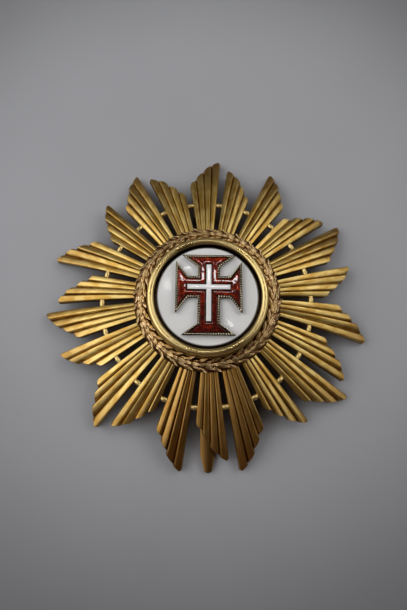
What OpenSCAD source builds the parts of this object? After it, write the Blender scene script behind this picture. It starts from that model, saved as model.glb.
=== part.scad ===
// A domed, gilt breast star with 22 fluted rays, a laurel wreath and an enamelled cross.
// It lies face up: the tips of its longest rays rest on Z = 0 and its axis is the Z axis.

/* [Star] */
// Reach of the farthest ray tip, measured from the star's axis
star_r = 42.4; // [38:0.2:48]
// Radius of the sphere that the star is domed to
dome_r = 106; // [90:1:150]
// Angle left open between two rays
slit_deg = 3; // [2:0.1:4]
// Metal under the grooves between two ribs
ray_wall = 1; // [0.8:0.05:1.5]
// Height of a rib's ridge over its grooves, as a share of the rib's width
rib_rise = 0.36; // [0.2:0.02:0.5]
// Drop from the middle of a ray to its edges, as a share of the ray's width
ray_crown = 0.04; // [0:0.01:0.08]
// How far the end of a rib slants back from its ridge to its lower side
end_slant = 1.2; // [0.6:0.1:2.4]
// How far the end of a rib runs on from its ridge to its higher side
end_lead = 0.8; // [0.2:0.1:1.2]
// How far the tip of a ray is rounded back from its ridge to the ray's edge
tip_back = 0.4; // [0.1:0.1:0.8]
// Radius of the circle on which the stays cross the slits
stay_circle_r = 26.2; // [22:0.1:29]
// Diameter of the round wire that the stays are made of
stay_d = 1.4; // [0.8:0.05:1.8]
// How far the round ends of a stay are sunk into the rays
stay_sink = 0.35; // [0.2:0.05:0.4]

/* [Hub] */
// Metal of the flat hub under the medallion
hub_wall = 1.5; // [1:0.1:2.2]

/* [Wreath] */
// Width of the wreath, from the bezel to its outer edge
wreath_w = 3.25; // [2.6:0.05:4.4]
// Height of the wreath's round back over the rays
wreath_h = 1.25; // [0.9:0.05:2]
// Length of one laurel leaf
leaf_l = 3.6; // [2.6:0.1:4.6]
// Width of one laurel leaf
leaf_w = 1.4; // [1:0.05:2]
// Height of a leaf's midrib over the wreath's back
leaf_h = 0.5; // [0.3:0.05:0.8]
// Angle that the side leaves spread from the middle ones
leaf_spread = 15; // [8:1:30]

/* [Medallion] */
// Radius of the white enamelled disc
disc_r = 12.25; // [10.5:0.05:13.6]
// Open gap between the disc and the bezel ring
disc_gap = 0.6; // [0.1:0.05:0.8]
// Width of the bezel's round top
bezel_w = 1.75; // [1.2:0.05:2.2]
// Height of the bezel ring over its seat on the hub
bezel_h = 3.6; // [3:0.1:4.8]
// Thickness of the disc at its edge
disc_t = 1.2; // [0.8:0.05:1.6]
// Rise of the disc's middle over its edge
disc_rise = 0.35; // [0.1:0.05:0.6]
// How far the disc's edge lies under the top of the bezel
disc_drop = 1.1; // [0.6:0.05:1.6]
// Width of the ledge in the bezel that carries the disc
ledge_w = 2; // [1:0.1:3]

/* [Cross] */
// Reach of the upper limb from the middle of the crossing
cross_up = 7.95; // [6.8:0.05:8.1]
// Reach of the lower limb from the middle of the crossing
cross_down = 11.65; // [9:0.05:11.8]
// Reach of each side limb from the middle of the crossing
cross_side = 7.95; // [7:0.05:8.1]
// Height of the crossing over the star's axis
cross_lift = 1.9; // [1.4:0.05:2]
// Shift of the cross to the right of the star's axis, as it was mounted
cross_shift = 0.2; // [-0.4:0.05:0.4]
// Width of the limbs between their flared ends
limb_w = 5.3; // [4.6:0.1:6]
// Width of a limb's flared end
flare_w = 12.8; // [10:0.1:13]
// Length of the flare along the limb
flare_l = 2.8; // [2:0.1:3.6]
// Thickness of the cross
cross_t = 1; // [0.8:0.05:1.4]
// Width of the milled border
border_w = 0.6; // [0.4:0.05:0.8]
// Turn of the cross on the disc, as it was mounted
cross_turn = -1.8; // [-3:0.2:3]
// Depth of the cells that hold the enamel
cell_depth = 0.55; // [0.4:0.05:0.7]
// Reach of the white inner cross upwards from the crossing
white_up = 5.6; // [4.6:0.1:6]
// Reach of the white inner cross downwards from the crossing
white_down = 8.4; // [6.5:0.1:8.6]
// Reach of the white inner cross to each side
white_side = 5.15; // [4:0.05:5.4]
// Width of the white inner cross
white_w = 1.25; // [0.8:0.05:1.5]
// Width of the metal walls round the white inner cross
cell_wall = 0.2; // [0.15:0.05:0.5]

/* [Brooch pin] */
// Width of the lancet pin
pin_w = 3.6; // [3:0.1:4.4]
// Thickness of the lancet pin
pin_t = 0.9; // [0.7:0.05:1.1]
// Height of the pin's lower face over the surface
pin_lift = 0.35; // [0.2:0.05:0.5]
// Distance of the pin's centre line from the star's axis, to the left
pin_offset = 0.6; // [0:0.1:1.2]
// Distance of the pin's tip from the star's axis
pin_reach = 41.5; // [38:0.1:42]
// Distance of the hinge block's middle from the star's axis
hinge_y = 25; // [22:0.5:27]
// Distance of the catch block's middle from the star's axis
catch_y = 26.5; // [23:0.5:27.5]
// Length of each block along the pin
block_l = 4.4; // [3:0.1:5]
// Width of the hinge block
hinge_w = 4.6; // [4:0.1:5]

/* [Hidden] */

// Clearance between pieces that are set in or on each other
fit = 0.05;

// Reach of the four ribs of a ray, longest first, as shares of star_r
LONG_RIBS = [0.985, 0.93, 0.865, 0.8];
SHORT_RIBS = [0.915, 0.86, 0.79, 0.72];

// Where the ridge stands across each rib of a ray, from left to right, as shares of the rib's
// width: the outer ribs lean to the slits beside them
RIDGE_AT = [0.28, 0.48, 0.52, 0.72];

// One row for each ray, clockwise from the top. Long and short rays take turns.
// Column 1: side of the longest rib, 1 clockwise and -1 anticlockwise.
// Column 2: how much longer or shorter the ray was filed, as a share of star_r.
SIDE = 0;
TRIM = 1;
RAYS = [
    [1, 0], [-1, 0], [-1, 0], [1, 0.01], [-1, 0.015], [-1, 0.01],
    [1, 0.005], [1, 0.015], [-1, 0.015], [-1, -0.01], [1, 0], [-1, 0],
    [-1, -0.005], [1, -0.015], [-1, -0.015], [1, 0.005], [1, -0.005], [-1, -0.01],
    [-1, 0], [1, -0.005], [1, 0], [-1, 0]
];

RAY_COUNT = len(RAYS);
RIB_COUNT = len(LONG_RIBS);
pitch_deg = 360 / RAY_COUNT;
rib_deg = (pitch_deg - slit_deg) / RIB_COUNT;
// Where the ribs bend to follow the dome, as shares of star_r
BENDS = [0.5, 0.6, 0.7, 0.8, 0.9, 1];

// Heights of the star's surfaces at a distance r from the axis
function sphere_z(r) = sqrt(dome_r * dome_r - r * r);
function rib_w(r) = r * rib_deg * PI / 180;
function ridge_z(r) = sphere_z(r) - sphere_z(star_r) + ray_wall + rib_rise * rib_w(star_r);
function groove_z(r) = ridge_z(r) - rib_rise * rib_w(r);
function under_z(r) = groove_z(r) - ray_wall;
function crown_drop(q, r) = ray_crown * RIB_COUNT * rib_w(r) * pow(2 * q / RIB_COUNT - 1, 2);
function ray_azimuth(i) = 90 - i * pitch_deg;
// Azimuth of line q of a ray: whole numbers are the edges and the grooves between the ribs
function line_azimuth(i, q) = ray_azimuth(i) + (RIB_COUNT / 2 - q) * rib_deg;
function polar(azimuth, r, z) = [r * cos(azimuth), r * sin(azimuth), z];

bezel_in_r = disc_r + disc_gap;
bezel_r = bezel_in_r + bezel_w;
// The wreath lies between these two radii, and the hub ends just under its outer edge
wreath_in_r = bezel_r + 4 * fit;
wreath_out_r = wreath_in_r + wreath_w;
hub_r = wreath_out_r - 0.4;
rib_root_r = wreath_in_r + wreath_w * 0.15;
seat_z = ridge_z(wreath_in_r);
// The hub's rim is thinner than the rays, so that it ends inside their metal
rim_inset = ray_wall / 4;

// Ribs are straight between the bends, so that neighbours of any length share one wall
bend_radii = concat([rib_root_r], star_r * BENDS);
UNDER = [for (r = bend_radii) [r, under_z(r)]];
GROOVE = [for (r = bend_radii) [r, groove_z(r)]];
RIDGE = [for (r = bend_radii) [r, ridge_z(r)]];
// Where a line bends that ends at one radius and passes the end of a shorter rib at another
function stops(end, mate_end) =
    let (cut = min(end, mate_end))
    concat([for (r = bend_radii) if (r < cut) r], [cut],
           [for (r = bend_radii) if (r > cut && r < end) r], end > cut ? [end] : []);
function low_line(i, q, radii) = [for (r = radii) polar(line_azimuth(i, q), r, lookup(r, UNDER))];
function top_line(i, q, radii, heights) =
    [for (r = radii) polar(line_azimuth(i, q), r, lookup(r, heights) - crown_drop(q, r))];

// Triangles between two lines of points, which start at a and b and have stops ra and rb
function strip(a, ra, b, rb, i = 0, j = 0) =
    i == len(ra) - 1 && j == len(rb) - 1 ? []
    : j < len(rb) - 1 && (i == len(ra) - 1 || rb[j + 1] <= ra[i + 1])
        ? concat([[a + i, b + j, b + j + 1]], strip(a, ra, b, rb, i, j + 1))
        : concat([[a + i, b + j, a + i + 1]], strip(a, ra, b, rb, i + 1, j));
function turned(faces) = [for (f = faces) [f[0], f[2], f[1]]];
function total_before(counts, n) = n == 0 ? 0 : counts[n - 1] + total_before(counts, n - 1);

// Where the ridge and the two sides of the ribs of a ray end
function rib_share(i, q) =
    (i % 2 == 0 ? LONG_RIBS : SHORT_RIBS)[RAYS[i][SIDE] > 0 ? RIB_COUNT - 1 - q : q];
function ridge_end(i, q) = star_r * (rib_share(i, q) + RAYS[i][TRIM]);
function low_end(i, q) = ridge_end(i, q) - end_slant;
function high_end(i, q) = ridge_end(i, q)
    + (q == (RAYS[i][SIDE] > 0 ? RIB_COUNT - 1 : 0) ? -tip_back : end_lead);
function left_end(i, q) = RAYS[i][SIDE] > 0 ? low_end(i, q) : high_end(i, q);
function right_end(i, q) = RAYS[i][SIDE] > 0 ? high_end(i, q) : low_end(i, q);

// Rib q of ray i is drawn from five lines: bottom left, bottom right, top right, ridge and top
// left, seen from the axis. Both ribs beside a groove bend it at the same places.
module rib(i, q) {
    left = stops(left_end(i, q), q > 0 ? right_end(i, q - 1) : star_r);
    right = stops(right_end(i, q), q < RIB_COUNT - 1 ? left_end(i, q + 1) : star_r);
    ridge = stops(ridge_end(i, q), star_r);
    radii = [left, right, right, ridge, left];
    lines = [
        low_line(i, q, left),
        low_line(i, q + 1, right),
        top_line(i, q + 1, right, GROOVE),
        top_line(i, q + RIDGE_AT[q], ridge, RIDGE),
        top_line(i, q, left, GROOVE)
    ];
    m = len(lines);
    first = [for (n = [0:m - 1]) total_before([for (line = lines) len(line)], n)];
    last = [for (n = [0:m - 1]) first[n] + len(lines[n]) - 1];
    function side(from, to) = strip(first[from], radii[from], first[to], radii[to]);
    // A side's triangles meet the groove beyond the stay, so that the stay lies on one of them
    sides = concat(side(0, 1), side(1, 2), turned(side(3, 2)), side(3, 4), turned(side(0, 4)));
    root_cap = [for (n = [1:m - 2]) [first[0], first[n + 1], first[n]]];
    end_cap = [for (n = [1:m - 2]) [last[0], last[n], last[n + 1]]];
    polyhedron(points = [for (line = lines) each line], faces = concat(sides, root_cap, end_cap),
               convexity = 4);
}

// A stay is a short round wire laid across a slit, level with the ridges beside it
function stay_top(r) = ridge_z(r) - crown_drop(RIDGE_AT[0], r);
module stay() {
    half_l = (stay_circle_r * slit_deg * PI / 180 - stay_d) / 2 + stay_sink;
    hull()
        for (side = [-1, 1])
            translate([0, side * half_l, 0])
                sphere(d = stay_d, $fn = 8);
}

module star_body() {
    stay_z = stay_top(stay_circle_r) - stay_d / 2;
    color("goldenrod")
    union() {
        rotate([0, 0, pitch_deg / 4])
            rotate_extrude($fn = 2 * RAY_COUNT)
                polygon([
                    [0, seat_z - hub_wall], [wreath_in_r, seat_z - hub_wall],
                    [hub_r, under_z(hub_r) + rim_inset], [hub_r, groove_z(hub_r) - rim_inset],
                    [wreath_in_r, seat_z], [0, seat_z]
                ]);
        for (i = [0:RAY_COUNT - 1]) {
            for (q = [0:RIB_COUNT - 1])
                rib(i, q);
            rotate([0, 0, ray_azimuth(i) + pitch_deg / 2])
                translate([stay_circle_r, 0, stay_z])
                    stay();
        }
    }
}

// Laurel: bundles of three leaves lap over each other all the way round
BUNDLES = 32;
LEAF_ROWS = [-1, 1, 0];
wreath_mid_r = (wreath_in_r + wreath_out_r) / 2;
wreath_foot = ridge_z(wreath_mid_r) + 2 * fit;
// Slope of the wreath's flat foot, which lies on the rays
foot_tilt = atan2(ridge_z(wreath_in_r) - ridge_z(wreath_out_r), wreath_w);
// The side rows of leaves stand this share of the wreath's width from the middle row
ROW_GAP = 0.3;
BACK_STEPS = 6;
// Points round the wreath's back, a low half ellipse
function back_point(t) = [wreath_w / 2 * -cos(t), wreath_h * sin(t)];
function back_height(row) = wreath_h * sqrt(1 - pow(2 * ROW_GAP * row, 2));

// One leaf lies along +Y on Z = 0, with its tip raised
module leaf() {
    hull()
        polyhedron(
            points = [
                [0, -leaf_l / 2, 0], [leaf_w / 2, -leaf_l * 0.1, 0], [-leaf_w / 2, -leaf_l * 0.1, 0],
                [0, leaf_l / 2, leaf_h * 0.5], [0, -leaf_l * 0.25, leaf_h * 0.8],
                [0, leaf_l * 0.15, leaf_h], [0, 0, -leaf_h]
            ],
            faces = [[0, 1, 2], [3, 4, 5], [0, 3, 6]]
        );
}

module laurel_wreath() {
    color("peru")
    union() {
        rotate_extrude($fn = BUNDLES)
            translate([wreath_mid_r, wreath_foot])
                rotate(-foot_tilt)
                    polygon([for (s = [0:BACK_STEPS]) back_point(180 * s / BACK_STEPS)]);
        for (b = [0:BUNDLES - 1])
            for (row = LEAF_ROWS)
                rotate([0, 0, (b + row * row * 0.5) * 360 / BUNDLES])
                    translate([wreath_mid_r, 0, wreath_foot])
                        rotate([0, foot_tilt, 0])
                            translate([row * ROW_GAP * wreath_w, 0, back_height(row) - leaf_h * 0.25])
                                rotate([0, row * 28, -row * leaf_spread])
                                    leaf();
    }
}

bezel_foot = seat_z + fit;
bezel_top = bezel_foot + bezel_h;
disc_edge_z = bezel_top - disc_drop;
disc_foot = disc_edge_z - disc_t;

module bezel_ring() {
    color("gold")
    rotate_extrude($fn = 180)
        union() {
            translate([bezel_in_r, bezel_foot])
                square([bezel_w, bezel_h - bezel_w / 2]);
            translate([bezel_r - bezel_w / 2, bezel_top - bezel_w / 2])
                circle(d = bezel_w, $fn = 48);
            translate([bezel_in_r - ledge_w, bezel_foot])
                square([ledge_w + bezel_w / 2, disc_foot - fit - bezel_foot]);
        }
}

DISC_STEPS = 8;
function disc_top(r) = disc_edge_z + disc_rise * (1 - pow(r / disc_r, 2));

module white_disc() {
    color("white")
    rotate_extrude($fn = 180)
        polygon(concat(
            [[0, disc_foot], [disc_r, disc_foot]],
            [for (s = [DISC_STEPS:-1:0]) [disc_r * s / DISC_STEPS, disc_top(disc_r * s / DISC_STEPS)]]
        ));
}

cross_z = disc_top(0) + fit;
cell_floor = cross_z + cross_t - cell_depth;

// A limb of a given reach along +Y, with its flared end
module limb(reach) {
    polygon([
        [-limb_w / 2, 0], [limb_w / 2, 0], [limb_w / 2, reach - flare_l],
        [flare_w / 2, reach], [-flare_w / 2, reach], [-limb_w / 2, reach - flare_l]
    ]);
}

module cross_outline() {
    limb(cross_up);
    rotate(180) limb(cross_down);
    rotate(90) limb(cross_side);
    rotate(-90) limb(cross_side);
}

module white_outline() {
    translate([-white_w / 2, -white_down]) square([white_w, white_down + white_up]);
    translate([-white_side, -white_w / 2]) square([2 * white_side, white_w]);
}

module place_cross(z) {
    rotate([0, 0, cross_turn])
        translate([cross_shift, cross_lift, z])
            children();
}

module cross_frame() {
    color("dimgray")
    place_cross(cross_z)
        difference() {
            linear_extrude(cross_t) cross_outline();
            translate([0, 0, cross_t - cell_depth])
                linear_extrude(cross_t)
                    difference() {
                        offset(delta = -border_w) cross_outline();
                        difference() {
                            offset(delta = cell_wall) white_outline();
                            white_outline();
                        }
                    }
        }
}

module red_enamel() {
    color("darkred")
    place_cross(cell_floor + fit / 2)
        linear_extrude(cell_depth - 0.12)
            difference() {
                offset(delta = -border_w - fit) cross_outline();
                offset(delta = cell_wall + fit) white_outline();
            }
}

module inner_cross() {
    color("ghostwhite")
    place_cross(cell_floor + fit / 2)
        linear_extrude(cell_depth - fit)
            offset(delta = -fit) white_outline();
}

pin_top = pin_lift + pin_t;
// The blocks of the pin end this far under the rays that carry them
block_gap = 2 * fit;

module pin_outline() {
    tip_l = 1.2 * pin_w;
    tip_round = 0.1 * pin_w;
    half_w = pin_w / 2;
    polygon([
        [half_w, hinge_y], [-half_w, hinge_y], [-half_w, tip_l - pin_reach],
        [-half_w * 0.5, tip_round - pin_reach], [0, -pin_reach],
        [half_w * 0.5, tip_round - pin_reach], [half_w, tip_l - pin_reach]
    ]);
}

// A block stands under the rays between two distances from the axis
module block(near_r, far_r, width) {
    rotate([90, 0, 90])
        translate([0, 0, -width / 2])
            linear_extrude(width)
                polygon([
                    [near_r, pin_lift], [far_r, pin_lift],
                    [far_r, under_z(far_r) - block_gap], [near_r, under_z(near_r) - 2 * block_gap]
                ]);
}

module brooch_pin() {
    color("darkgoldenrod")
    translate([-pin_offset, 0, 0])
        union() {
            translate([0, 0, pin_lift]) linear_extrude(pin_t) pin_outline();
            block(hinge_y - block_l / 2, hinge_y + block_l / 2, hinge_w);
            mirror([0, 1, 0]) block(catch_y - block_l / 2, catch_y + block_l / 2, pin_w);
        }
}

star_body();
laurel_wreath();
bezel_ring();
white_disc();
cross_frame();
red_enamel();
inner_cross();
brooch_pin();
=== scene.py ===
# %% [markdown]
# # A gilt and enamelled breast star
# The real star is a domed gilt plate of 22 fluted rays, with small round stays soldered across
# the slits. A cast laurel wreath, a polished ring, a white enamelled disc and an enamelled cross
# are stacked on its middle, and a lancet pin is fixed behind it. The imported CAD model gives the
# size and place of every piece. Here each piece gets its fine form and its finish.

import math
import random

import bmesh
import bpy
import numpy as np
from mathutils import Euler, Matrix, Vector


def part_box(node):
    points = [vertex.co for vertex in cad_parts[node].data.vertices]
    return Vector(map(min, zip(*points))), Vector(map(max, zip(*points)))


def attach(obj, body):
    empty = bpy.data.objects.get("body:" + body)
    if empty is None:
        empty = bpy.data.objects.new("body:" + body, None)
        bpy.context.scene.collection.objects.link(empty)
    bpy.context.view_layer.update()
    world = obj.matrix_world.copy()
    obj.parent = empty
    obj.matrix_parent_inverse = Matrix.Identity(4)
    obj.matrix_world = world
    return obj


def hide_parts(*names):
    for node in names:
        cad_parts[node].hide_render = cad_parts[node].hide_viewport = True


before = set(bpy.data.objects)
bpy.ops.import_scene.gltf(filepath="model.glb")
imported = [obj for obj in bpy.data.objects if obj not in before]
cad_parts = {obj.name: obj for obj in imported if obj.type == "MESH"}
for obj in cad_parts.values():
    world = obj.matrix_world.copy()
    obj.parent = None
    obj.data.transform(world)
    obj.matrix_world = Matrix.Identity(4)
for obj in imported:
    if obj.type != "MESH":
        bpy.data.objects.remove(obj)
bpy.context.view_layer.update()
MM = 0.001

# %% [markdown]
# ## The camera
# The photograph was taken from close by, so near parts look larger and the rays spread. The
# camera hangs over the star and leans a little towards its foot. Its distance and its lens are
# worked out together, because either alone gives the wrong perspective.

# %% Set up the camera
IMAGE_HEIGHT = 610
FOCAL_PIXELS = 460
SENSOR = 36
CAMERA_TURN = (13.54, -1.13, -1.23)
CAMERA_BACK = 114.82
CAMERA_SHIFT = (-0.94, -1.09)
RIDGE_LEVEL = 7.45


def add_object(name, data):
    made = bpy.data.objects.new(name, data)
    bpy.context.scene.collection.objects.link(made)
    return made


camera_data = bpy.data.cameras.new("camera")
camera_data.sensor_width = SENSOR
camera_data.lens = FOCAL_PIXELS * SENSOR / IMAGE_HEIGHT
camera_data.clip_start = 0.005
camera = add_object("camera", camera_data)
camera.rotation_euler = Euler([math.radians(a) for a in CAMERA_TURN])
stand = camera.rotation_euler.to_matrix() @ Vector((*CAMERA_SHIFT, CAMERA_BACK))
camera.location = (stand + Vector((0, 0, RIDGE_LEVEL))) * MM
bpy.context.scene.camera = camera
print("camera at", [round(x / MM, 1) for x in camera.location], "lens", round(camera_data.lens, 2))

# %% [markdown]
# ## Helpers for node trees
# One short function makes a node and fills its sockets in order. Its result can be added,
# multiplied and compared like a plain number, so that each rule reads like its formula.


# %% Node helpers
class Value:
    """One output of a node; another output of the same node is picked in square brackets"""

    def __init__(self, node, key=0):
        self.node = node
        self.key = key
        self.tree = node.id_data

    def __getitem__(self, key):
        return Value(self.node, key)

    def math(self, operation, *others):
        return place(self.tree, "ShaderNodeMath", self, *others, operation=operation)

    def __add__(self, other):
        return self.math("ADD", other)

    def __sub__(self, other):
        return self.math("SUBTRACT", other)

    def __rsub__(self, other):
        return place(self.tree, "ShaderNodeMath", other, self, operation="SUBTRACT")

    def __mul__(self, other):
        return self.math("MULTIPLY", other)

    def __abs__(self):
        return self.math("ABSOLUTE")

    def __gt__(self, other):
        return self.math("GREATER_THAN", other)


def put(socket, value):
    """Links a value to a socket, or sets a plain number or colour there; None leaves it alone"""
    if isinstance(value, Value):
        value.tree.links.new(value.node.outputs[value.key], socket)
    elif value is not None:
        socket.default_value = value


def place(tree, kind, *values, **settings):
    """Adds a node with these settings, and fills its sockets in order"""
    node = tree.nodes.new(kind)
    for name, value in settings.items():
        setattr(node, name, value)
    for socket, value in zip(node.inputs, values):
        put(socket, value)
    return Value(node)


# %% [markdown]
# A node group is a tool with named inputs and outputs, which can be used again and again.


# %% Helpers for node groups
def new_tree(name, inputs, outputs, kind="ShaderNodeTree"):
    """A node group; an input is given by the number it starts from, or by its kind of socket"""
    tree = bpy.data.node_groups.new(name, kind)
    for label, start in inputs.items():
        sort = start if isinstance(start, str) else type(start).__name__.capitalize()
        socket = tree.interface.new_socket(label, in_out="INPUT", socket_type="NodeSocket" + sort)
        put(socket, None if isinstance(start, str) else start)
    for label, sort in outputs.items():
        tree.interface.new_socket(label, in_out="OUTPUT", socket_type="NodeSocket" + sort)
    print("new tree:", name)
    return tree, Value(tree.nodes.new("NodeGroupInput")), tree.nodes.new("NodeGroupOutput").inputs


def split(vector):
    return place(vector.tree, "ShaderNodeSeparateXYZ", vector)


def combine(x, y, z):
    return place(z.tree, "ShaderNodeCombineXYZ", x, y, z)


def object_coordinates(tree):
    return place(tree, "ShaderNodeTexCoord")["Object"]


# %% [markdown]
# ## Effects that finishes share
# Four shader groups carry the effects that return on several metals. Each puts out only masks,
# heights or coordinates, and the materials mix their colours with them.
#
# *Round the axis* turns Object coordinates into distance along the ring, distance from the axis
# and height, so that grain can run out along the rays or round the ring.


# %% Shader group: coordinates round the axis
RING_SCALE = 25 * MM
outputs = {"Vector": "Vector", "Radius": "Float"}
round_axis, knobs, result = new_tree("Round the axis", {}, outputs)
here = split(object_coordinates(round_axis))
along = here["Y"].math("ARCTAN2", here["X"]) * RING_SCALE
distance = (here["X"] * here["X"] + here["Y"] * here["Y"]).math("SQRT")
put(result["Vector"], combine(along, distance, here["Z"]))
put(result["Radius"], distance)

# %% [markdown]
# *Drawn grain* is the fine parallel scratching that files and polishing sticks leave. Noise
# stretched a hundredfold along one direction looks just like it, and a shorter noise gives the
# faint cross ripples of hand filing.


# %% Shader group: drawn grain
def noise(vector, scale, detail=2.0, roughness=0.5):
    return place(vector.tree, "ShaderNodeTexNoise", vector, None, scale, detail, roughness)


def scaled(vector, factors):
    return place(vector.tree, "ShaderNodeVectorMath", vector, factors, operation="MULTIPLY")


BROADER = (0.12, 0.5, 0.12)
RIPPLE_SCALE = (350.0, 2600.0, 350.0)

inputs = {"Vector": "Vector", "Across": 9000.0, "Along": 120.0, "Ripple": 0.3}
drawn_grain, knobs, result = new_tree("Drawn grain", inputs, {"Height": "Float", "Streak": "Float"})
stretched = scaled(knobs["Vector"], combine(knobs["Across"], knobs["Along"], knobs["Across"]))
fine = noise(stretched, 1.0, 3.0, 0.6)
ripples = noise(scaled(knobs["Vector"], RIPPLE_SCALE), 1.0, 1.0, 0.4)
put(result["Height"], fine + ripples * knobs["Ripple"])
put(result["Streak"], noise(scaled(stretched, BROADER), 1.0))

# %% [markdown]
# *Age and shade in recesses* is the brown film that stays where no cloth reaches, and it also lays
# painted shade. A mask, mostly one that the mesh carries, 0 on the crests and 1 in the hollows, is
# broken up by noise, so that the edge of the film is never an even line.


# %% Shader group: age and shade in recesses
def ramp(value, start, end, low=0.0, high=1.0, **settings):
    """Goes from low to high while the value goes from start to end, and stays there"""
    return place(value.tree, "ShaderNodeMapRange", value, start, end, low, high, **settings)


inputs = {"Recess": 0.0, "Start": 0.6, "End": 1.0, "Scale": 400.0, "Break": 0.3}
recess_age_and_shade, knobs, result = new_tree("Age and shade in recesses", inputs, {"Mask": "Float"})
cloud = noise(object_coordinates(recess_age_and_shade), knobs["Scale"], 4.0) - 0.5
put(result["Mask"], ramp(cloud * knobs["Break"] + knobs["Recess"], knobs["Start"], knobs["End"]))

# %% [markdown]
# *Handling* stands for the dull patches of fingers and cloths and for single fine scratches.
# Low noise gives the patches. The scratches are the thin lines where a slanting, stretched noise
# passes through its middle value.

# %% Shader group: handling
SCRATCH_SLANT = (0.3, 0.5, 0.7)
SCRATCH_STRETCH = (1.0, 0.22, 1.0)

outputs = {"Patches": "Float", "Scratches": "Float"}
handling, knobs, result = new_tree("Handling", {"Scale": 90.0}, outputs)
here = object_coordinates(handling)
put(result["Patches"], noise(here, knobs["Scale"], 5.0))
skewed = place(handling, "ShaderNodeMapping", here, None, SCRATCH_SLANT, SCRATCH_STRETCH)
from_middle = abs(noise(skewed, 700.0, 1.0, 0.2) - 0.5)
put(result["Scratches"], ramp(from_middle, 0.0, 0.006, 1.0, 0.0))

# %% [markdown]
# ## Finishes
# Every finish is one Principled shader. Groups and attributes drive its colour, its roughness
# and the height of its bump, and what is the same all over is set on the shader itself.


# %% Material helpers
def new_material(name, **constants):
    """A material with its Principled shader, on which the constant sockets are set"""
    material = bpy.data.materials.new(name)
    material.use_nodes = True
    shader = material.node_tree.nodes["Principled BSDF"]
    for label, value in constants.items():
        shader.inputs[label.replace("_", " ")].default_value = value
    return material, material.node_tree, shader.inputs


def use_group(tree, group, **values):
    used = place(tree, "ShaderNodeGroup", node_tree=group)
    for label, value in values.items():
        put(used.node.inputs[label], value)
    return used


def mix(share, first, second):
    """Blends two colours; a share of 0 is the first one alone"""
    skipped = [None] * 5
    return place(share.tree, "ShaderNodeMix", share, *skipped, first, second, data_type="RGBA")[2]


def mask(tree, name):
    return place(tree, "ShaderNodeAttribute", attribute_name=name)["Fac"]


def film(recess, start, end, scale, ragged):
    """How thick the brown film and the painted shade lie, from none where the recess is at start to full
    at end
    """
    values = {"Recess": recess, "Start": start, "End": end, "Scale": scale, "Break": ragged}
    return use_group(recess.tree, recess_age_and_shade, **values)["Mask"]


def finish(shader, color, gloss, relief):
    """Gloss is a value and the roughness it goes from and to; relief is height, strength, depth"""
    value, low, high = gloss
    height, strength, depth = relief
    put(shader["Base Color"], color)
    put(shader["Roughness"], ramp(value, 0.3, 0.7, low, high))
    put(shader["Normal"], place(height.tree, "ShaderNodeBump", strength, depth * MM, None, height))


# %% [markdown]
# The rays are fire-gilt and drawn with a file and a polishing stick from the middle outwards, so
# the grain is read from the coordinates round the axis. The gilding is bright on the ribs' backs
# and brown in the grooves. A painted shade makes it duller towards the tips and brownest at the
# foot. The stays stand free and are marked as rubbed; their brighter gold is partly rubbed polish
# and partly a painted highlight. The back and the walls of the slits, marked as under, are never
# polished and keep a brown film.

# %% Finish: gilt rays
GOLD = (0.72, 0.53, 0.19, 1)
DEEP_GOLD = (0.52, 0.31, 0.068, 1)
TIP_SHADE_GOLD = (0.42, 0.225, 0.06, 1)
FOOT_SHADE_BROWN = (0.31, 0.135, 0.031, 1)
RUBBED_GOLD_AND_SHEEN = (0.92, 0.69, 0.28, 1)
GROOVE_BROWN = (0.16, 0.075, 0.018, 1)
TO_FOOT = math.pi / 2 * RING_SCALE

gilt_rays, tree, shader = new_material("gilt_rays", Metallic=1.0)
ring = use_group(tree, round_axis)
grain = use_group(tree, drawn_grain, Vector=ring["Vector"], Across=9000.0, Along=130.0, Ripple=0.15)
hands = use_group(tree, handling, Scale=110.0)
surface_tone = mix(ramp(grain["Streak"], 0.38, 0.60), DEEP_GOLD, GOLD)
# Painted shade: the gold grows duller and browner towards the tips.
surface_tone = mix(film(ramp(ring["Radius"], 24 * MM, 43 * MM), 0.25, 1.25, 130.0, 0.8), surface_tone, TIP_SHADE_GOLD)
# Painted shade: the rays turn browner towards the foot of the star.
from_foot = abs(split(ring["Vector"])["X"] + TO_FOOT)
surface_tone = mix(ramp(from_foot, 0.3 * RING_SCALE, 0.68 * RING_SCALE, 0.7, 0.0), surface_tone, FOOT_SHADE_BROWN)
# The stays' brighter gold is partly rubbed polish and partly a painted highlight.
surface_tone = mix(mask(tree, "rubbed"), surface_tone, RUBBED_GOLD_AND_SHEEN)
in_grooves = film(mask(tree, "fold"), 0.85, 1.04, 500.0, 0.22)
below = film(mask(tree, "under"), 0.15, 0.6, 220.0, 0.3)
surface_tone = mix(in_grooves.math("MAXIMUM", below * 0.93), surface_tone, GROOVE_BROWN)
finish(shader, surface_tone, (hands["Patches"], 0.32, 0.45), (grain["Height"], 0.45, 0.016))

# %% [markdown]
# The wreath is cast and chased, with a rosier gilding in patches. Between the leaves lies a dark
# film, partly patina and partly painted shade. The mesh carries a mask called low, which is 1 in
# the wreath's hollows.

# %% Finish: gilt wreath
ROSE_GOLD = (0.85, 0.58, 0.33, 1)
CHASED_GOLD = (0.86, 0.63, 0.26, 1)
LEAF_SHADE = (0.21, 0.100, 0.036, 1)

gilt_wreath, tree, shader = new_material("gilt_wreath", Metallic=1.0)
patches = use_group(tree, handling, Scale=260.0)["Patches"]
# Patina and painted shade: the leaf shade fills the gaps and hollows of the wreath.
between = film(mask(tree, "low"), 0.08, 0.70, 1100.0, 0.5)
surface_tone = mix(between, mix(patches, ROSE_GOLD, CHASED_GOLD), LEAF_SHADE)
finish(shader, surface_tone, (patches, 0.22, 0.40), (patches, 0.4, 0.03))

# %% [markdown]
# The ring is turned and polished, and fine lines from the brush run round it. Its inner wall is
# painted dark, a painted shade, so that with the gap round the disc it shows as a thin dark line.

# %% Finish: polished gilt
RING_GOLD = (0.90, 0.72, 0.34, 1)
RING_DEEP = (0.74, 0.51, 0.18, 1)
WALL_SHADE = (0.055, 0.029, 0.012, 1)

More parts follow.
